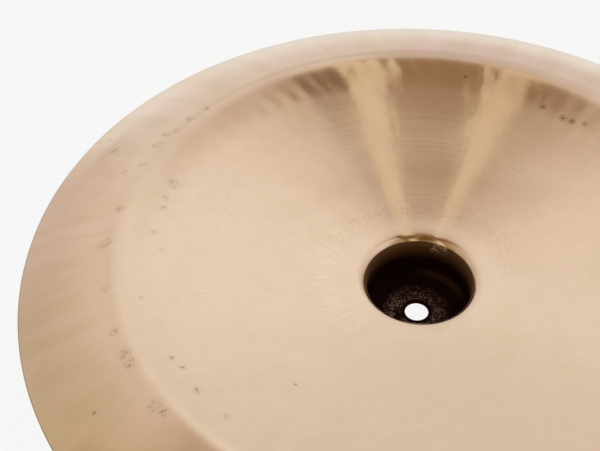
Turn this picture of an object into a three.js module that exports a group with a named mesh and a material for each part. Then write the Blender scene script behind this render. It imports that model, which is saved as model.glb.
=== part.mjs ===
// A 16 inch china cymbal: one sheet of cast, rolled, hammered and lathed bronze.
// It has a deep cup with a mounting hole in its crown, a bow that rises around the cup,
// and an outer flange that is bent back the other way.
// Lengths are in millimetres and +Z is up. The cymbal stands on the crown of its cup, with
// its hollow side up, and the origin is the middle of the hole on the crown's outer face.
// Radii and heights below are those of the hollow side, the face that is seen from above.

import * as THREE from "three";

// The rim of the whole cymbal
const edgeRadius = 203.2;

// The hole for the rod and sleeve of a stand
const holeRadius = 6.3;

// The cup, from the corner of its floor to the corner of its mouth
const cupFloorRadius = 26.0;
const cupMouthRadius = 27.7;
const cupDepth = 25.9;
const cupFloorFillet = 6.0;
const cupMouthFillet = 5.0;

// The bow, which steepens outwards, and its knee above the mouth of the cup
const bowKneeRadius = 88.5;
const bowKneeRise = 9.6;
const bowFillet = 700;

// The bend, where the bow meets the flange, above the mouth of the cup
const bendRadius = 153.6;
const bendRise = 30.7;
const bendFillet = 20.0;

// The flange falls from the bend to the edge and steepens outwards at a soft knee. The knee's
// place is given as shares of the flange's width and of its drop.
const flangeDrop = 18.0;
const flangeKneeWidthShare = 0.49;
const flangeKneeDropShare = 0.28;
const flangeFillet = 110;

// The gauge of the sheet, which thins from the crown of the cup to the edge
const crownGauge = 1.3;
const mouthGauge = 1.15;
const bendGauge = 0.85;
const edgeGauge = 0.75;

// How finely the round surfaces are faceted
const turnSegments = 72;
const arcStep = THREE.MathUtils.degToRad(14);
const fewestArcSteps = 5;

// Bronze as lathed and polished
const bronzeColour = 0xe3cbb0;
const bronzeRoughness = 0.25;

const floorHeight = crownGauge;
const mouthHeight = floorHeight + cupDepth;
const bowKneeHeight = mouthHeight + bowKneeRise;
const bendHeight = mouthHeight + bendRise;
const flangeKneeRadius = bendRadius + (edgeRadius - bendRadius) * flangeKneeWidthShare;
const flangeKneeHeight = bendHeight - flangeDrop * flangeKneeDropShare;
const edgeHeight = bendHeight - flangeDrop;

// The corners of the hollow side before they are rounded, from the hole out to the edge.
// Each has its place and the radius that rounds it.
const corners = [
  { at: new THREE.Vector2(holeRadius, floorHeight), fillet: 0 },
  { at: new THREE.Vector2(cupFloorRadius, floorHeight), fillet: cupFloorFillet },
  { at: new THREE.Vector2(cupMouthRadius, mouthHeight), fillet: cupMouthFillet },
  { at: new THREE.Vector2(bowKneeRadius, bowKneeHeight), fillet: bowFillet },
  { at: new THREE.Vector2(bendRadius, bendHeight), fillet: bendFillet },
  { at: new THREE.Vector2(flangeKneeRadius, flangeKneeHeight), fillet: flangeFillet },
  { at: new THREE.Vector2(edgeRadius, edgeHeight), fillet: 0 },
];

// How much of the run between two corners their two fillets may take in all
const runShare = 0.98;

// A corner's wanted tangent length: how far from the corner its arc starts and ends.
function wantedTangent(index) {
  const { at, fillet } = corners[index];
  if (fillet === 0) return 0;
  const before = at.clone().sub(corners[index - 1].at);
  const after = corners[index + 1].at.clone().sub(at);
  const turn = Math.abs(after.angle() - before.angle());
  return fillet * Math.tan(Math.min(turn, 2 * Math.PI - turn) / 2);
}

// The tangent length that the two neighbouring runs leave room for.
function fittedTangent(index) {
  const wanted = wantedTangent(index);
  if (wanted === 0) return 0;
  const rooms = [index - 1, index + 1].map((neighbour) => {
    const run = corners[index].at.distanceTo(corners[neighbour].at) * runShare;
    return (run * wanted) / (wanted + wantedTangent(neighbour));
  });
  return Math.min(wanted, ...rooms);
}

// The arc that rounds a corner, tangent to the runs on both of its sides.
function cornerArc(index) {
  const { at } = corners[index];
  const tangent = fittedTangent(index);
  const inward = corners[index - 1].at.clone().sub(at).normalize();
  const outward = corners[index + 1].at.clone().sub(at).normalize();
  const start = at.clone().addScaledVector(inward, tangent);
  const end = at.clone().addScaledVector(outward, tangent);
  const halfAngle = Math.acos(inward.dot(outward)) / 2;
  const radius = tangent * Math.tan(halfAngle);
  const middle = inward.clone().add(outward).normalize();
  const centre = at.clone().addScaledVector(middle, tangent / Math.cos(halfAngle));
  const clockwise = inward.cross(outward) > 0;
  return new THREE.EllipseCurve(
    centre.x,
    centre.y,
    radius,
    radius,
    start.clone().sub(centre).angle(),
    end.clone().sub(centre).angle(),
    clockwise,
  );
}

// The hollow side as points, each with the direction that faces up and out of the bronze.
function hollowSide() {
  const stations = [];
  const addStation = (point, tangent) => {
    stations.push({ point, facing: new THREE.Vector2(-tangent.y, tangent.x) });
  };
  const first = corners[0].at;
  const last = corners[corners.length - 1].at;
  addStation(first, corners[1].at.clone().sub(first).normalize());
  for (let index = 1; index < corners.length - 1; index++) {
    const arc = cornerArc(index);
    const turn = Math.acos(THREE.MathUtils.clamp(arc.getTangent(0).dot(arc.getTangent(1)), -1, 1));
    const steps = Math.max(fewestArcSteps, Math.ceil(turn / arcStep));
    for (let step = 0; step <= steps; step++) {
      addStation(arc.getPoint(step / steps), arc.getTangent(step / steps));
    }
  }
  addStation(last, last.clone().sub(corners[corners.length - 2].at).normalize());
  return stations;
}

// The gauge of the sheet at a radius, straight between the places where it is known.
function gaugeAt(radius) {
  const known = [
    [holeRadius, crownGauge],
    [cupFloorRadius, crownGauge],
    [cupMouthRadius + cupMouthFillet, mouthGauge],
    [bendRadius, bendGauge],
    [edgeRadius, edgeGauge],
  ];
  const next = Math.max(1, known.findIndex(([place]) => place >= radius));
  const [[fromRadius, fromGauge], [toRadius, toGauge]] = [known[next - 1], known[next]];
  return THREE.MathUtils.mapLinear(radius, fromRadius, toRadius, fromGauge, toGauge);
}

// The closed section of the sheet: the hollow side outwards, then the back side inwards.
function sheetSection() {
  const stations = hollowSide();
  const hollow = stations.map(({ point }) => point);
  const back = stations.map(({ point, facing }) =>
    point.clone().addScaledVector(facing, -gaugeAt(point.x)),
  );
  return [...back, ...hollow.reverse(), back[0].clone()];
}

// The section turned about the axis of the hole. LatheGeometry turns about Y, so the solid
// is tipped up to stand along Z.
function cymbalGeometry() {
  const geometry = new THREE.LatheGeometry(sheetSection(), turnSegments);
  return geometry.rotateX(Math.PI / 2);
}

const bronze = new THREE.MeshStandardMaterial({
  color: bronzeColour,
  roughness: bronzeRoughness,
  metalness: 1,
});

const chinaCymbal = new THREE.Group();
const cymbal = new THREE.Mesh(cymbalGeometry(), bronze);
cymbal.name = "cymbal";
chinaCymbal.add(cymbal);

export default chinaCymbal;
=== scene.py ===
"""A china cymbal of hammered and lathed bronze, hollow side up on a white studio floor."""

import math

import bmesh
import bpy
from mathutils import Matrix, Vector, noise


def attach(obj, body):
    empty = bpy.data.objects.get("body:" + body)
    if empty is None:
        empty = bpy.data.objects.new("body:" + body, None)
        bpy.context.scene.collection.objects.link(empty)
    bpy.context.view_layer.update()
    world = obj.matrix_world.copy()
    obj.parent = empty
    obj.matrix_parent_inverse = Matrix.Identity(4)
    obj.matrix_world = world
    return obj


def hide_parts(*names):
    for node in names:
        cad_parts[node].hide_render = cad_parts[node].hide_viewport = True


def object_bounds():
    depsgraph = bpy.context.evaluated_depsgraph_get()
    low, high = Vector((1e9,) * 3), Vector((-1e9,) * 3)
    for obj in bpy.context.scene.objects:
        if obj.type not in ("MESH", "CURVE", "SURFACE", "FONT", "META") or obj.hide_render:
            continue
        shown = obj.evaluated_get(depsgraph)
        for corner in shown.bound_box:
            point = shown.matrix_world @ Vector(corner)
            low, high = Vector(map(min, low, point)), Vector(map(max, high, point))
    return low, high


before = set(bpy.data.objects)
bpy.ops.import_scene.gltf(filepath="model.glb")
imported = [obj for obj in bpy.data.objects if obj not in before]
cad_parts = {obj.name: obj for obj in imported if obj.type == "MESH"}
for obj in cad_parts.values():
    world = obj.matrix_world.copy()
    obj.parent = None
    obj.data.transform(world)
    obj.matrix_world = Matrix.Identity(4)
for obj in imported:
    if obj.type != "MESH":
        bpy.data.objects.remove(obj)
cad_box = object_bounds()

# The camera. It stands in front of the cymbal and looks down into the hollow side, aimed a
# little left of the cup, so that the near side and the right side run out of the picture.
MM = 0.001
AIM_HEIGHT = 25.7 * MM
CAMERA_DISTANCE = 568.8 * MM
CAMERA_ELEVATION = math.radians(48.30)
CAMERA_PAN = math.radians(6.50)
CAMERA_TILT = math.radians(2.30)
CAMERA_ROLL = math.radians(5.47)
SENSOR_WIDTH_MM = 36.0
LENS_MM = 65.28


def studio_camera():
    data = bpy.data.cameras.new("camera")
    data.sensor_width = SENSOR_WIDTH_MM
    data.lens = LENS_MM
    camera = bpy.data.objects.new("camera", data)
    outward = Vector((0, -math.cos(CAMERA_ELEVATION), math.sin(CAMERA_ELEVATION)))
    place = Matrix.Translation(outward * CAMERA_DISTANCE + Vector((0, 0, AIM_HEIGHT)))
    turn = outward.to_track_quat("Z", "Y").to_matrix().to_4x4()
    turn @= Matrix.Rotation(CAMERA_PAN, 4, "Y")
    turn @= Matrix.Rotation(CAMERA_TILT, 4, "X")
    turn @= Matrix.Rotation(CAMERA_ROLL, 4, "Z")
    camera.matrix_world = place @ turn
    bpy.context.scene.collection.objects.link(camera)
    bpy.context.scene.camera = camera


studio_camera()

# The sheet. One disc of cast bronze, rolled and pressed into a deep cup, a bow and a flange
# that is bent back, then hammered, bored through the crown and turned on a lathe. Radii and
# heights are those of the hollow side. Its gauge thins from the crown to the edge.
EDGE_RADIUS = cad_box[1].x
CROWN_GAUGE = 1.3 * MM
MOUTH_GAUGE = 1.15 * MM
BEND_GAUGE = 0.85 * MM
EDGE_GAUGE = 0.75 * MM
HOLE_RADIUS = 6.3 * MM
CUP_FLOOR_RADIUS = 26.0 * MM
CUP_MOUTH_RADIUS = 27.7 * MM
CUP_DEPTH = 25.9 * MM
CUP_FLOOR_FILLET = 6.0 * MM
CUP_MOUTH_FILLET = 5.8 * MM
BOW_KNEE_RADIUS = 88.5 * MM
BOW_KNEE_RISE = 9.8 * MM
BOW_FILLET = 700 * MM
BEND_RADIUS = 152.6 * MM
BEND_RISE = 30.52 * MM
BEND_FILLET = 16.0 * MM
FLANGE_DROP = 18.0 * MM
FLANGE_KNEE_WIDTH_SHARE = 0.49
FLANGE_KNEE_DROP_SHARE = 0.28
FLANGE_FILLET = 110 * MM
RIM_ROUNDING = 0.25 * MM
RIM_ROUNDING_STEPS = 3
RIM_CORNER = math.radians(50)

TURN_STEPS = 400
ROUND_STEP = math.radians(6.0)
ROW = 2.7 * MM
RIM_ROW = 0.6 * MM
SEAM_GAP = 0.01 * MM

MOUTH_HEIGHT = CROWN_GAUGE + CUP_DEPTH
BEND_HEIGHT = MOUTH_HEIGHT + BEND_RISE
FLANGE_KNEE = (
    BEND_RADIUS + (EDGE_RADIUS - BEND_RADIUS) * FLANGE_KNEE_WIDTH_SHARE,
    BEND_HEIGHT - FLANGE_DROP * FLANGE_KNEE_DROP_SHARE,
)
CORNERS = [
    (CUP_FLOOR_RADIUS, CROWN_GAUGE, CUP_FLOOR_FILLET),
    (CUP_MOUTH_RADIUS, MOUTH_HEIGHT, CUP_MOUTH_FILLET),
    (BOW_KNEE_RADIUS, MOUTH_HEIGHT + BOW_KNEE_RISE, BOW_FILLET),
    (BEND_RADIUS, BEND_HEIGHT, BEND_FILLET),
    (*FLANGE_KNEE, FLANGE_FILLET),
]
EDGE = Vector((EDGE_RADIUS, 0, BEND_HEIGHT - FLANGE_DROP))


class Pen:
    """Draws a wire from point to point, with rounded corners."""

    def __init__(self, start):
        self.wire = bmesh.new()
        self.tip = self.wire.verts.new(start)

    def run(self, end):
        drawn = bmesh.ops.extrude_vert_indiv(self.wire, verts=[self.tip])
        drawn["verts"][0].co = end
        cuts = math.ceil(drawn["edges"][0].calc_length() / ROW) - 1
        bmesh.ops.subdivide_edges(self.wire, edges=drawn["edges"], cuts=max(cuts, 1))
        self.lift(end)

    def turn(self, corner, end, radius):
        inward = (self.tip.co - corner).normalized()
        outward = (end - corner).normalized()
        half = inward.angle(outward) / 2
        tangent = radius / math.tan(half)
        centre = corner + (inward + outward).normalized() * radius / math.sin(half)
        self.run(corner + inward * tangent)
        angle = math.pi - 2 * half
        steps = math.ceil(max(angle / ROUND_STEP, angle * radius / ROW))
        bmesh.ops.spin(
            self.wire,
            geom=[self.tip],
            cent=centre,
            axis=outward.cross(inward).normalized(),
            angle=angle,
            steps=steps,
            use_merge=False,
        )
        self.lift(corner + outward * tangent)

    def lift(self, end):
        self.tip = min(self.wire.verts, key=lambda vert: (vert.co - end).length)


def hollow_side():
    pen = Pen(Vector((HOLE_RADIUS, 0, CROWN_GAUGE)))
    pen.run(Vector((HOLE_RADIUS + RIM_ROW, 0, CROWN_GAUGE)))
    places = [Vector((radius, 0, height)) for radius, height, _ in CORNERS] + [EDGE]
    for (_, _, fillet), corner, end in zip(CORNERS, places, places[1:]):
        pen.turn(corner, end, fillet)
    pen.run(EDGE + (pen.tip.co - EDGE).normalized() * RIM_ROW)
    pen.run(EDGE)
    sheet = pen.wire
    bmesh.ops.spin(
        sheet,
        geom=sheet.verts[:] + sheet.edges[:],
        cent=(0, 0, 0),
        axis=(0, 0, 1),
        angle=math.tau,
        steps=TURN_STEPS,
        use_merge=True,
    )
    bmesh.ops.remove_doubles(sheet, verts=sheet.verts, dist=SEAM_GAP)
    bmesh.ops.recalc_face_normals(sheet, faces=sheet.faces)
    floor = min(sheet.faces, key=lambda face: face.calc_center_median().to_2d().length)
    if floor.normal.z < 0:
        bmesh.ops.reverse_faces(sheet, faces=sheet.faces)
    return sheet


# Hammering leaves the sheet gently uneven: broad dents all over, and short waves around the
# bend, where the flange was beaten back. The bow is hollowed a little on the far side and
# around the cup's mouth, and the rim hangs unevenly. The lathe takes only the tops off.
DENT_SPACING = 30 * MM
DENT_DEPTH = 0.11 * MM
DENT_LEVEL = 0.6
DENT_START = CUP_MOUTH_RADIUS * 1.3
DENT_FADE = 12 * MM
DENT_SEED = Vector((8.8, 2.9, 0.6))
WAVE_COUNT = 72
WAVE_DEPTH = 0.048 * MM
WAVE_RADIUS = 139 * MM
WAVE_REACH = 11 * MM
WAVE_DRIFT = 3.0
WAVE_PATCHES = 3.0
WAVE_PATCH_STRETCH = 0.2
WAVE_GAPS = 1.7
WAVE_SEED = Vector((1.2, 8.8, 4.1))
HOLLOW_DEPTH = 0.85 * MM
HOLLOW_RADIUS = 130 * MM
HOLLOW_INNER_REACH = 56 * MM
HOLLOW_OUTER_REACH = 19 * MM
HOLLOW_NARROWING = 2.5
MOUTH_HOLLOW_DEPTH = 0.24 * MM
MOUTH_HOLLOW_RADIUS = 46 * MM
MOUTH_HOLLOW_INNER_REACH = 14 * MM
MOUTH_HOLLOW_OUTER_REACH = 50 * MM
EDGE_DROOP = 0.35 * MM
EDGE_LOBES = 1.6
EDGE_SEED = 5.0


def swell(distance, inner_reach, outer_reach):
    """1 at no distance and 0 from the reach on, smooth between them."""
    reach = inner_reach if distance < 0 else outer_reach
    share = min(1.0, abs(distance) / reach)
    return (1 - share * share) ** 2


def wave_at(around, radius):
    """Height of the waves along the bend, which drift sideways and come and go."""
    stretch = radius / WAVE_REACH * WAVE_PATCH_STRETCH
    place = Vector((math.cos(around), math.sin(around), stretch)) * WAVE_PATCHES
    drift = WAVE_DRIFT * noise.noise(place + WAVE_SEED) - radius / WAVE_REACH
    height = max(0.0, 0.5 + noise.noise(place * WAVE_GAPS - WAVE_SEED))
    near_bend = math.exp(-(((radius - WAVE_RADIUS) / WAVE_REACH) ** 2))
    return WAVE_DEPTH * (math.sin(WAVE_COUNT * around + drift) - 1) * height * near_bend


def hollow_at(around, radius):
    """Depth of the hollow in the bow, which narrows from the far side to the near one."""
    far_side = (0.5 + 0.5 * math.sin(around)) ** HOLLOW_NARROWING
    across = swell(radius - HOLLOW_RADIUS, HOLLOW_INNER_REACH, HOLLOW_OUTER_REACH)
    return HOLLOW_DEPTH * far_side * across


def mouth_hollow_at(radius):
    from_middle = radius - MOUTH_HOLLOW_RADIUS
    return MOUTH_HOLLOW_DEPTH * swell(from_middle, MOUTH_HOLLOW_INNER_REACH, MOUTH_HOLLOW_OUTER_REACH)


def droop_at(around, radius):
    """How far the flange hangs below its true height, most at the rim and unevenly around."""
    out = min(1.0, max(0.0, (radius - BEND_RADIUS) / (EDGE_RADIUS - BEND_RADIUS)))
    uneven = noise.noise(Vector((math.cos(around), math.sin(around), EDGE_SEED)) * EDGE_LOBES)
    return EDGE_DROOP * out * out * (0.5 + uneven)


def hammer(sheet):
    for vert in sheet.verts:
        radius = vert.co.to_2d().length
        around = math.atan2(vert.co.y, vert.co.x)
        free = min(1.0, max(0.0, (radius - DENT_START) / DENT_FADE))
        dent = DENT_DEPTH * (noise.noise(vert.co / DENT_SPACING + DENT_SEED) - DENT_LEVEL)
        vert.co.z += free * (dent + wave_at(around, radius) - hollow_at(around, radius))
        vert.co.z -= mouth_hollow_at(radius) + droop_at(around, radius)


def gauge_at(radius):
    known = [
        (0, CROWN_GAUGE),
        (CUP_FLOOR_RADIUS, CROWN_GAUGE),
        (CUP_MOUTH_RADIUS + CUP_MOUTH_FILLET, MOUTH_GAUGE),
        (BEND_RADIUS, BEND_GAUGE),
        (EDGE_RADIUS, EDGE_GAUGE),
    ]
    for (inner, thick), (outer, thin) in zip(known, known[1:]):
        if radius <= outer:
            return thick + (thin - thick) * (radius - inner) / (outer - inner)
    return EDGE_GAUGE


def cymbal_sheet():
    sheet = hollow_side()
    hammer(sheet)
    for face in sheet.faces:
        face.smooth = True
    mesh = bpy.data.meshes.new("cymbal_sheet")
    sheet.to_mesh(mesh)
    sheet.free()
    piece = bpy.data.objects.new("cymbal_sheet", mesh)
    bpy.context.scene.collection.objects.link(piece)
    gauge = piece.vertex_groups.new(name="gauge")
    for vert in mesh.vertices:
        share = gauge_at(vert.co.to_2d().length) / CROWN_GAUGE
        gauge.add([vert.index], share, "REPLACE")
    wall = piece.modifiers.new("wall", "SOLIDIFY")
    wall.thickness = CROWN_GAUGE
    wall.offset = -1
    wall.use_even_offset = True
    wall.use_quality_normals = True
    wall.vertex_group = gauge.name
    wall.material_offset = 1
    rims = piece.modifiers.new("rims", "BEVEL")
    rims.width = RIM_ROUNDING
    rims.segments = RIM_ROUNDING_STEPS
    rims.limit_method = "ANGLE"
    rims.angle_limit = RIM_CORNER
    bpy.context.view_layer.objects.active = piece
    for modifier in (wall.name, rims.name):
        bpy.ops.object.modifier_apply(modifier=modifier)
    return piece


# The bronze. Turned bright with a scraper on the lathe, whose fine rings smear every
# reflection along the radius. The cup's inside was never turned and keeps its black scale.
BRONZE = (0.825, 0.655, 0.495)
WORN_BRONZE = (0.77, 0.62, 0.43)
STAIN = (0.20, 0.12, 0.06)
BRONZE_ROUGHNESS = 0.12
BRONZE_ANISOTROPY = 1.0
RADIAL_TURN = 0.25


class Socket:
    """An output of a node. Sums written with it add Math nodes to its tree."""

    def __init__(self, tree, output=None):
        self.tree = tree
        self.output = output

    def node(self, kind, settings=None, inputs=None, output=0):
        made = self.tree.nodes.new(kind)
        for name, setting in (settings or {}).items():
            if name == "stops":
                while len(made.color_ramp.elements) < len(setting):
                    made.color_ramp.elements.new(1.0)
                for element, (place, colour) in zip(made.color_ramp.elements, setting):
                    element.position = place
                    element.color = (*colour, 1)
            else:
                setattr(made, name, setting)
        for name, value in (inputs or {}).items():
            if isinstance(value, Socket):
                self.tree.links.new(value.output, made.inputs[name])
            elif isinstance(value, tuple) and made.inputs[name].type == "RGBA":
                made.inputs[name].default_value = (*value, 1)
            else:
                made.inputs[name].default_value = value
        return Socket(self.tree, made.outputs[output] if made.outputs else None)

    def maths(self, operation, other=0.0):
        return self.node("ShaderNodeMath", {"operation": operation}, {0: self, 1: other})

    def vectors(self, operation, other, output=0):
        return self.node("ShaderNodeVectorMath", {"operation": operation}, {0: self, 1: other}, output)

    def __add__(self, other):
        return self.maths("ADD", other)

    def __sub__(self, other):
        return self.maths("SUBTRACT", other)

    def __rsub__(self, other):
        return self.node("ShaderNodeMath", {"operation": "SUBTRACT"}, {0: other, 1: self})

    def __mul__(self, other):
        return self.maths("MULTIPLY", other)

    def __truediv__(self, other):
        return self.maths("DIVIDE", other)

    __radd__ = __add__
    __rmul__ = __mul__

    def most(self, other):
        return self.maths("MAXIMUM", other)

    def least(self, other):
        return self.maths("MINIMUM", other)

    def rise(self, start, end):
        """0 at start and 1 at end, smooth between them."""
        settings = {"interpolation_type": "SMOOTHSTEP"}
        inputs = {"Value": self, "From Min": start, "From Max": end}
        return self.node("ShaderNodeMapRange", settings, inputs)

    def band(self, start, full, fading, end):
        """1 from full to fading and 0 outside start and end, smooth between them."""
        return self.rise(start, full) * (1 - self.rise(fading, end))

    def ramp(self, span, stops):
        """The colour of the stops, which have their places from 0 to the span."""
        places = [(place / span, colour) for place, colour in stops]
        return self.node("ShaderNodeValToRGB", {"stops": places}, {0: self / span})

    def tint(self, first, second):
        """first where this is 0 and first times second where it is 1, as colours."""
        settings = {"data_type": "RGBA", "blend_type": "MULTIPLY"}
        return self.node("ShaderNodeMix", settings, {0: self, 6: first, 7: second}, output=2)

    def mix(self, first, second):
        """first where this is 0 and second where it is 1, as colours."""
        settings = {"data_type": "RGBA"}
        return self.node("ShaderNodeMix", settings, {0: self, 6: first, 7: second}, output=2)

    def product(self, other):
        """This times the other, as colours."""
        settings = {"data_type": "RGBA", "blend_type": "MULTIPLY"}
        return self.node("ShaderNodeMix", settings, {0: 1.0, 6: self, 7: other}, output=2)


class SheetPlace:
    """Where on the sheet a point is, measured from the axis of the hole."""

    def __init__(self, start):
        self.point = start.node("ShaderNodeTexCoord", output="Object")
        self.x = start.node("ShaderNodeSeparateXYZ", inputs={0: self.point}, output="X")
        self.y = start.node("ShaderNodeSeparateXYZ", inputs={0: self.point}, output="Y")
        self.z = start.node("ShaderNodeSeparateXYZ", inputs={0: self.point}, output="Z")
        self.flat = start.node("ShaderNodeCombineXYZ", inputs={0: self.x, 1: self.y, 2: 0.0})
        self.radius = (self.x * self.x + self.y * self.y).maths("SQRT")
        self.right = self.x / self.radius
        self.far = self.y / self.radius

    def wound(self, turn, out):
        """The place in a pattern wound round the axis, with a fineness around and one outwards."""
        inputs = {0: self.right * turn, 1: self.far * turn, 2: self.radius * out}
        return self.point.node("ShaderNodeCombineXYZ", inputs=inputs)


def spotted(place, size=1.0, detail=2.0):
    """Noise from 0 to 1 with features of the size."""
    settings = {"noise_dimensions": "3D"}
    return place.node("ShaderNodeTexNoise", settings, {"Vector": place, "Scale": 1 / size, "Detail": detail})


# The lathe's grooves, and the hammer's strokes and small dents that it ran over. Their depths
# are in mm, and the finenesses count the features in a metre.
GROOVE_DEPTH = 0.022
GROOVE_FINENESS = 520
GROOVE_DRIFT = 5
STROKE_DEPTH = 0.008
SMALL_DENT_DEPTH = 0.030
SMALL_DENT_SPACING = 11 * MM


def turned_relief(at):
    inputs = {0: at.radius * GROOVE_FINENESS, 1: at.x * GROOVE_DRIFT, 2: at.y * GROOVE_DRIFT}
    grooves = spotted(at.point.node("ShaderNodeCombineXYZ", inputs=inputs)) * GROOVE_DEPTH
    strokes = spotted(at.wound(26, 22)) * STROKE_DEPTH
    return grooves + strokes + spotted(at.point, SMALL_DENT_SPACING) * SMALL_DENT_DEPTH


# Strokes of wear on the flange and faint clouds of it in the bow.
FLANGE_WEAR_START = (140 * MM, 175 * MM)
CLOUD_SIZE = 26 * MM
CLOUD_WEAR = 0.35
SMALL_CLOUD_SIZE = 7 * MM
SMALL_CLOUD_WEAR = 0.28


def worn_metal(at):
    strokes = spotted(at.wound(13, 15), detail=3.0).rise(0.38, 0.62)
    clouds = spotted(at.point, CLOUD_SIZE, 3.0).rise(0.45, 0.65) * CLOUD_WEAR
    clouds = clouds + spotted(at.point, SMALL_CLOUD_SIZE, 4.0).rise(0.35, 0.65) * SMALL_CLOUD_WEAR
    on_flange = at.radius.rise(*FLANGE_WEAR_START)
    worn = strokes * on_flange + clouds * (1 - on_flange)
    return worn.mix(BRONZE, WORN_BRONZE)


# The colour darkens over the outermost band of the rim, and the scraper chattered in a ring around the cup.
# The chatter shows as dark rings on the far side and as bright teeth on the left.
OUTER_RIM_BAND = (202.2 * MM, 203.0 * MM)
OUTER_RIM_DARKENING = 0.35
CHATTER_RING = (41 * MM, 46 * MM, 52 * MM, 58 * MM)
CHATTER_RING_SHADE = 0.07
CHATTER_RING_SIDE = (-20 * MM, 40 * MM)
CHATTER_TOOTH_SHINE = 0.06
CHATTER_TOOTH_SIDE = (5 * MM, 40 * MM)


def rim_and_chatter_tone(at):
    tone = 1 - at.radius.rise(*OUTER_RIM_BAND) * OUTER_RIM_DARKENING
    chatter = at.radius.band(*CHATTER_RING)
    rings = spotted(at.wound(16, 900), detail=1.0).rise(0.46, 0.66)
    teeth = spotted(at.wound(32, 60), detail=1.0).rise(0.44, 0.62)
    shade = chatter * rings * at.y.rise(*CHATTER_RING_SIDE) * CHATTER_RING_SHADE
    return tone - shade + chatter * teeth * (at.x * -1).rise(*CHATTER_TOOTH_SIDE) * CHATTER_TOOTH_SHINE


# Painted shade lies inside the bend on the left side, where the bow curves over, and on its crest at the far
# side.
LEFT_BEND_PAINTED_SHADE = (0.87, 0.84, 0.83)
LEFT_BEND_SHADE_RING = (128 * MM, 148 * MM, 150 * MM, 160 * MM)
CREST_PAINTED_SHADE = (0.76, 0.70, 0.68)
CREST_SHADE_RING = (148.6 * MM, 151.6 * MM, 152 * MM, 160.5 * MM)


def with_painted_bend_shade(at, colour):
    # Painted shade inside the bend on the left, where the bow curves over.
    on_left = (at.right * -1).rise(0.45, 0.65) * (at.far.rise(-0.1, 0.5) * 0.7 + 0.3)
    colour = (at.radius.band(*LEFT_BEND_SHADE_RING) * on_left).tint(colour, LEFT_BEND_PAINTED_SHADE)
    # Painted shade on the crest at the far side, dimming a bright reflected line.
    on_far_side = at.far.rise(0.62, 0.90) * (at.right.rise(-0.35, -0.15) * 0.5 + 0.5)
    return (at.radius.band(*CREST_SHADE_RING) * on_far_side).tint(colour, CREST_PAINTED_SHADE)


# Marks left by the hammer and by years of playing, most of them along the bend. Each has its
# place seen from above, across and away from the camera, and how far it reaches, all in mm.
MARKS = [
    (-181, 67, 3), (-174, 53, 4), (-149, 54, 5), (-146, 63, 5), (-141, 66, 4), (-136, 77, 4),
    (-128, 87, 3), (-153, 37, 3), (-162, 31, 3), (-134, 28, 5), (-136, 17, 3), (-136, 10, 3),
    (-156, 2, 4), (-156, -21, 4), (-158, -24, 5), (-136, -8, 3), (-130, -18, 2), (-149, -52, 4),
    (-131, -53, 2), (-138, -77, 4), (-130, -89, 5), (-126, -94, 5), (-109, -86, 3), (-103, -90, 3),
    (-94, -102, 4), (-110, -115, 5), (-105, -118, 4), (-78, -114, 3), (-137, -118, 2), (73, 110, 5),
]
MARK_STAIN = 0.5
MARK_DEPTH = 0.03
MARK_GRAIN = 1.5 * MM

# Small dark pits, given in the same way.
PITS = [
    (61, 119, 3), (72, 111, 3), (77, 108.5, 3), (84, 106, 2.5), (16, 139, 1.5), (-52, -85, 1.1),
    (-109, -86, 1.2), (-103, -90, 1.4), (-94, -102, 1.4), (-137, -118, 1.2), (-128, 87, 1.2),
]
PIT_STAIN = 0.75

# Hair-thin scratches in the bow, each from one place to another, in mm as above.
SCRATCHES = [
    (-111, -42, -73, -25), (-83, 30, -88, 13), (-88, 13, -83, 5), (-105, 31, -107, 4),
    (-138, 33, -130, -11), (-123, -62, -104, -86),
]
SCRATCH_REACH = 0.4 * MM
SCRATCH_STAIN = 0.12


def dotted(at, spots):
    """1 at each of the spots and 0 away from them."""
    dots = None
    for x, y, reach in spots:
        away = at.flat.vectors("DISTANCE", (x * MM, y * MM, 0.0), "Value")
        near = 1 - away.rise(0.0, reach * MM)
        dots = near if dots is None else dots.most(near)
    return dots


def scratched(at):
    """1 along each of the scratches and 0 away from them."""
    scratches = None
    for begin_x, begin_y, end_x, end_y in SCRATCHES:
        begin = Vector((begin_x, begin_y, 0)) * MM
        run = Vector((end_x, end_y, 0)) * MM - begin
        offset = at.flat.vectors("SUBTRACT", begin)
        share = offset.vectors("DOT_PRODUCT", run / run.length_squared, "Value").most(0.0).least(1.0)
        nearest = share.node("ShaderNodeVectorMath", {"operation": "SCALE"}, {0: run, "Scale": share})
        near = 1 - offset.vectors("DISTANCE", nearest, "Value").rise(0.0, SCRATCH_REACH)
        scratches = near if scratches is None else scratches.most(near)
    return scratches


# Scale from the fire, black on the floor of the cup and browner towards its mouth. It is worn dusty in a ring
# around the hole and in a patch under the lip, on the far wall, and carries a painted highlight in brown
# along the fillet at the foot of the far wall.
SCALE = (0.018, 0.007, 0.006)
BROWN_SCALE = (0.17, 0.095, 0.045)
DUSTY_SCALE = (0.75, 0.56, 0.47)
SCALE_ROUGHNESS = 0.47
SCALE_RADIUS = 28.35 * MM
METAL_START = (SCALE_RADIUS - 0.2 * MM, SCALE_RADIUS + 0.05 * MM)
BRIGHT_START = (SCALE_RADIUS + 0.05 * MM, SCALE_RADIUS + 0.3 * MM)
BROWNING = (13 * MM, 26 * MM)
DUST_RING = (7.5 * MM, 9.5 * MM, 12 * MM, 20 * MM)
DUST_TOP = (2 * MM, 6 * MM)
DUST = 0.60
DUST_TO_LEFT = 0.14
PATCH_ACROSS = 8.8 * MM
PATCH_HEIGHT = 23.6 * MM
PATCH_REACH_SQUARED = 34 * MM * MM
PATCH_DUST = 4.0
PATCH_FAR_SIDE = (10 * MM, 20 * MM)
DUST_GRAIN = 0.8 * MM
DUST_CLUMP = 7 * MM
FILLET_HIGHLIGHT_BAND = (2 * MM, 4 * MM, 5 * MM, 8 * MM)
FILLET_HIGHLIGHT_SHARE = 0.3


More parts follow.
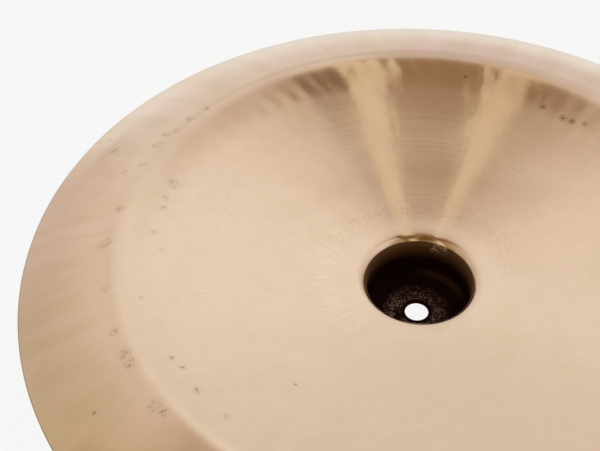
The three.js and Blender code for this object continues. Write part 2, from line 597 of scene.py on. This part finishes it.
def cup_scale(at):
    scale = at.z.rise(*BROWNING).mix(SCALE, BROWN_SCALE)
    ring = at.radius.band(*DUST_RING) * (1 - at.z.rise(*DUST_TOP)) * (DUST - at.right * DUST_TO_LEFT)
    across = at.x - PATCH_ACROSS
    above = at.z - PATCH_HEIGHT
    patch = 1 - (across * across + above * above).rise(0.0, PATCH_REACH_SQUARED)
    worn = ring + patch * at.y.rise(*PATCH_FAR_SIDE) * PATCH_DUST
    grains = spotted(at.point, DUST_GRAIN, 4.0).rise(0.44, 0.70)
    clumps = spotted(at.point, DUST_CLUMP).rise(0.30, 0.62)
    scale = (worn * grains * clumps).mix(scale, DUSTY_SCALE)
    # A painted highlight: the fillet on the far wall is tinted toward brown scale, standing in for light
    # along it.
    fillet = at.z.band(*FILLET_HIGHLIGHT_BAND) * at.right.rise(-0.3, 0.3) * at.far.rise(0.2, 0.8)
    return (fillet * FILLET_HIGHLIGHT_SHARE).mix(scale, BROWN_SCALE)


def bronze_material(name):
    material = bpy.data.materials.new(name)
    material.use_nodes = True
    tree = material.node_tree
    tree.nodes.clear()
    return material, Socket(tree)


def hollow_side_bronze():
    material, start = bronze_material("hollow_side_bronze")
    at = SheetPlace(start)
    grain = spotted(at.point, MARK_GRAIN)
    marks = dotted(at, MARKS) * (grain.rise(0.46, 0.66) * 0.8 + 0.2)
    pits = dotted(at, PITS) * (grain.rise(0.34, 0.50) * 0.6 + 0.4)
    scratches = scratched(at) * grain.rise(0.30, 0.60)
    # The bronze's colour carries painted shade inside the bend and on its crest.
    bronze = with_painted_bend_shade(at, worn_metal(at).product(rim_and_chatter_tone(at)))
    stain = (marks * MARK_STAIN).most(scratches * SCRATCH_STAIN).most(pits * PIT_STAIN)
    inside = 1 - at.radius.rise(*BRIGHT_START)
    height = turned_relief(at) - marks * MARK_DEPTH
    bump = start.node("ShaderNodeBump", inputs={"Height": height, "Distance": MM, "Strength": 1.0})
    skin = start.node(
        "ShaderNodeBsdfPrincipled",
        inputs={
            "Base Color": inside.mix(stain.mix(bronze, STAIN), cup_scale(at)),
            "Roughness": inside * (SCALE_ROUGHNESS - BRONZE_ROUGHNESS) + BRONZE_ROUGHNESS,
            "Metallic": at.radius.rise(*METAL_START),
            "Specular IOR Level": 0.0,
            "Anisotropic": BRONZE_ANISOTROPY,
            "Anisotropic Rotation": RADIAL_TURN,
            "Normal": bump,
        },
    )
    start.node("ShaderNodeOutputMaterial", inputs={"Surface": skin})
    return material


# The back is turned in the same way, and less handled.
BACK_CLOUD_SIZE = 34 * MM
BACK_WEAR = 0.6


def back_side_bronze():
    material, start = bronze_material("back_side_bronze")
    at = SheetPlace(start)
    worn = spotted(at.point, BACK_CLOUD_SIZE, 3.0).rise(0.42, 0.62) * BACK_WEAR
    bump = start.node("ShaderNodeBump", inputs={"Height": turned_relief(at), "Distance": MM, "Strength": 1.0})
    skin = start.node(
        "ShaderNodeBsdfPrincipled",
        inputs={
            "Base Color": worn.mix(BRONZE, WORN_BRONZE),
            "Roughness": BRONZE_ROUGHNESS,
            "Metallic": 1.0,
            "Anisotropic": BRONZE_ANISOTROPY,
            "Anisotropic Rotation": RADIAL_TURN,
            "Normal": bump,
        },
    )
    start.node("ShaderNodeOutputMaterial", inputs={"Surface": skin})
    return material


sheet_piece = cymbal_sheet()
sheet_piece.data.materials.append(hollow_side_bronze())
sheet_piece.data.materials.append(back_side_bronze())
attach(sheet_piece, "root")
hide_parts("cymbal")

# The studio. A white tent lit evenly, with an opening overhead where the dark ceiling and
# two warm strip lamps show in the metal, and a white floor under the crown of the cup.
FLOOR_HALF = 6.0
FLOOR_GLOW = 0.94
FLOOR_PAPER = (0.9, 0.9, 0.9)
WHITE = (0.958, 0.958, 0.958)


def studio_floor():
    plate = bmesh.new()
    bmesh.ops.create_grid(plate, x_segments=1, y_segments=1, size=FLOOR_HALF)
    mesh = bpy.data.meshes.new("studio_floor")
    plate.to_mesh(mesh)
    plate.free()
    floor = bpy.data.objects.new("studio_floor", mesh)
    bpy.context.scene.collection.objects.link(floor)
    material = bpy.data.materials.new("studio_white")
    material.use_nodes = True
    tree = material.node_tree
    tree.nodes.clear()
    start = Socket(tree)
    camera = start.node("ShaderNodeLightPath", output="Is Camera Ray")
    glossy = start.node("ShaderNodeLightPath", output="Is Glossy Ray")
    through = start.node("ShaderNodeLightPath", output="Is Transmission Ray")
    seen = camera.most(glossy).most(through)
    paper = start.node("ShaderNodeBsdfDiffuse", inputs={"Color": FLOOR_PAPER})
    glow = start.node("ShaderNodeEmission", inputs={"Color": WHITE})
    skin = start.node("ShaderNodeMixShader", inputs={0: seen * FLOOR_GLOW, 1: paper, 2: glow})
    start.node("ShaderNodeOutputMaterial", inputs={"Surface": skin})
    mesh.materials.append(material)


# The opening in the tent's roof is dark in the middle. Each stop is a distance from the middle,
# with the roof one unit up. The lamps in it run away from the camera towards one point.
OPENING = [
    (0.31, (0.365, 0.235, 0.14)),
    (0.36, (0.42, 0.295, 0.20)),
    (0.42, (0.55, 0.44, 0.33)),
    (0.48, (0.71, 0.63, 0.53)),
    (0.54, (0.80, 0.73, 0.69)),
    (0.60, (0.90, 0.84, 0.81)),
    (0.66, (0.96, 0.93, 0.91)),
    (0.74, (0.99, 0.98, 0.97)),
    (0.90, (1.0, 1.0, 1.0)),
]
OPENING_WIDTH_SQUARED = 1.3
OPENING_NEAR_SIDE = -0.3
LAMP = (0.85, 0.74, 0.57)
LAMPS_MEET = 0.85
LAMPS_NEAR_END = (0.05, 0.15)
LAMPS_FAR_END = (0.46, 0.60)

# The sides of each lamp, from the outer one in for the right and from the inner one out for
# the left. A lean turns the inner side about a point of the lamp.
RIGHT_LAMP_OUTER = (-0.275, -0.175)
RIGHT_LAMP_INNER = (-0.134, -0.106)
RIGHT_LAMP_PIVOT = 0.34
RIGHT_LAMP_LEAN = 0.1
GLINT = (-0.107, -0.100, -0.097, -0.090)
GLINT_SHARE = 0.4
LEFT_LAMP_INNER = (0.113, 0.131)
LEFT_LAMP_PIVOT = 0.3
LEFT_LAMP_LEAN = 0.12
LEFT_LAMP_OUTER = (0.225, 0.275)

# The tent's walls, down from straight up and then around from the right, both in degrees. A
# quarter turn is straight away from the camera. Two more warm lamps stand on the near side.
WALL_DOWN = [
    (45, (0.97, 0.95, 0.95)),
    (50, (0.96, 0.95, 0.95)),
    (56, (0.94, 0.93, 0.93)),
    (62, (0.90, 0.86, 0.87)),
    (70, (0.86, 0.81, 0.83)),
    (76, (0.85, 0.81, 0.84)),
    (84, (0.88, 0.86, 0.92)),
    (92, (0.91, 0.88, 0.93)),
]
NEAR_DARK = (0.50, 0.40, 0.25)
NEAR_LAMP = (1.0, 0.90, 0.66)
WALL_AROUND = [
    (80, (1.0, 1.0, 1.0)),
    (88, (0.96, 0.94, 0.94)),
    (104, (0.99, 0.98, 0.97)),
    (114, (1.0, 0.99, 0.98)),
    (122, (0.98, 0.97, 0.97)),
    (128, (0.92, 0.86, 0.83)),
    (137, (0.90, 0.84, 0.81)),
    (145, (0.83, 0.76, 0.71)),
    (153, (0.77, 0.70, 0.61)),
    (162, (0.74, 0.67, 0.57)),
    (172, (0.71, 0.63, 0.50)),
    (200, (0.70, 0.62, 0.46)),
    (212, NEAR_DARK),
    (224, NEAR_DARK),
    (231, NEAR_LAMP),
    (240, NEAR_LAMP),
    (247, NEAR_DARK),
    (276, NEAR_DARK),
    (284, NEAR_LAMP),
    (293, NEAR_LAMP),
    (301, NEAR_DARK),
    (325, (0.55, 0.45, 0.30)),
    (345, (1.0, 1.0, 1.0)),
]


class Way:
    """A way that light comes from: where it meets the roof, and its angles in degrees."""

    def __init__(self, start):
        way = start.node("ShaderNodeTexCoord", output="Generated")
        x = start.node("ShaderNodeSeparateXYZ", inputs={0: way}, output="X")
        y = start.node("ShaderNodeSeparateXYZ", inputs={0: way}, output="Y")
        z = start.node("ShaderNodeSeparateXYZ", inputs={0: way}, output="Z")
        up = z.most(0.02)
        across = x / up
        self.along = y / up
        ahead = self.along.most(self.along * OPENING_NEAR_SIDE)
        self.spread = (across * across * OPENING_WIDTH_SQUARED + ahead * ahead).maths("SQRT")
        self.fan = across / (LAMPS_MEET - self.along).most(0.05)
        self.down = z.maths("ARCCOSINE") * math.degrees(1)
        self.around = y.maths("ARCTAN2", x) * math.degrees(1)


def roof(way):
    """The opening with its two strip lamps, and a thin glint beside the right one."""
    right_inner = way.fan - (way.along - RIGHT_LAMP_PIVOT) * RIGHT_LAMP_LEAN
    right_lamp = way.fan.rise(*RIGHT_LAMP_OUTER) * (1 - right_inner.rise(*RIGHT_LAMP_INNER))
    left_inner = way.fan - (way.along - LEFT_LAMP_PIVOT) * LEFT_LAMP_LEAN
    left_lamp = left_inner.rise(*LEFT_LAMP_INNER) * (1 - way.fan.rise(*LEFT_LAMP_OUTER))
    lamps = right_lamp + way.fan.band(*GLINT) * GLINT_SHARE + left_lamp
    lit = lamps * (1 - way.spread.rise(*LAMPS_FAR_END)) * way.along.rise(*LAMPS_NEAR_END)
    return lit.mix(way.spread.ramp(1.0, OPENING), LAMP)


def walls(way):
    turn = way.around.maths("FLOORED_MODULO", 360)
    return way.down.ramp(180, WALL_DOWN).product(turn.ramp(360, WALL_AROUND))


def shades(way):
    """The tent's folds and darker panels, by their angles in degrees, each with its tint."""
    beside_left_lamp = way.fan.band(0.27, 0.31, 0.36, 0.40) * (1 - way.along.rise(0.36, 0.44))
    right_panel = (1 - way.around.rise(60, 72)) * way.spread.rise(0.50, 0.62)
    high_left = way.around.rise(99, 109) * (1 - way.around.rise(126, 140) * 0.6)
    high_left = high_left * (1 - way.down.rise(54, 64))
    far_panel = way.around.band(86, 98, 110, 118) * way.down.band(50, 58, 66, 74)
    low_right = (1 - way.around.rise(82, 96)) * way.down.rise(64, 76)
    low_left = way.around.rise(120, 129) * (1 - way.around.rise(134, 142) * 0.5)
    low_left = low_left * way.down.rise(76, 86)
    return [
        (beside_left_lamp, (0.55, 0.49, 0.44)),
        (right_panel, (0.88, 0.82, 0.78)),
        (high_left, (0.93, 0.90, 0.88)),
        (far_panel, (0.93, 0.91, 0.89)),
        (low_right, (0.93, 0.89, 0.90)),
        (low_left, (0.86, 0.79, 0.73)),
    ]


def studio_light():
    world = bpy.data.worlds.new("studio_tent")
    bpy.context.scene.world = world
    world.use_nodes = True
    tree = world.node_tree
    tree.nodes.clear()
    start = Socket(tree)
    way = Way(start)
    colour = walls(way).product(roof(way))
    for shade, tint in shades(way):
        colour = shade.tint(colour, tint)
    camera = start.node("ShaderNodeLightPath", output="Is Camera Ray")
    glow = start.node("ShaderNodeBackground", inputs={"Color": camera.mix(colour, WHITE)})
    start.node("ShaderNodeOutputWorld", inputs={"Surface": glow})


studio_floor()
studio_light()
bpy.context.scene.view_settings.view_transform = "Standard"
